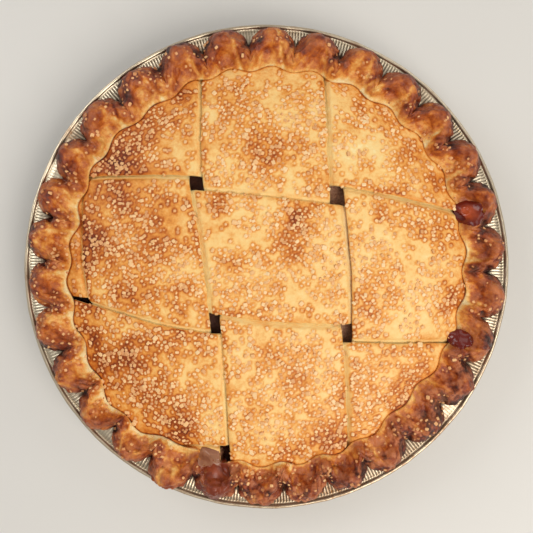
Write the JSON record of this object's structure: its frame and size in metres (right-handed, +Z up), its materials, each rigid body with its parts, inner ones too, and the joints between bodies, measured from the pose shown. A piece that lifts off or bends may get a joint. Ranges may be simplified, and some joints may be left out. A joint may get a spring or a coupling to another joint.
{
  "type": "apple pie",
  "caption": "Round apple pie with a woven lattice top, pinched fluted rim and coarse sugar, in its shallow foil pan.",
  "frame": {"origin": "centre of the foil pan's base, on the surface it stands on", "axes": "+Z up; +X to the right and +Y away, as the pie is seen from straight above"},
  "size_m": [0.2438, 0.2438, 0.0475],
  "materials": {
    "foil": "bright rolled foil with fine pleats",
    "rim_pastry": "deeply browned baked pastry with an egg glaze",
    "lattice_pastry": "golden baked pastry with coarse sugar",
    "filling": "dark wet cooked apple",
    "syrup": "dark red-brown set syrup"
  },
  "bodies": {
    "root": {"foil_pan": "foil", "crust_shell": "rim_pastry", "filling": "filling", "strip_v1": "lattice_pastry", "strip_v2": "lattice_pastry", "strip_v3": "lattice_pastry", "strip_h1": "lattice_pastry", "strip_h2": "lattice_pastry", "strip_h3": "lattice_pastry", "juice_right": "syrup", "juice_lower_right": "syrup", "juice_bottom": "syrup"}
  },
  "joints": []
}
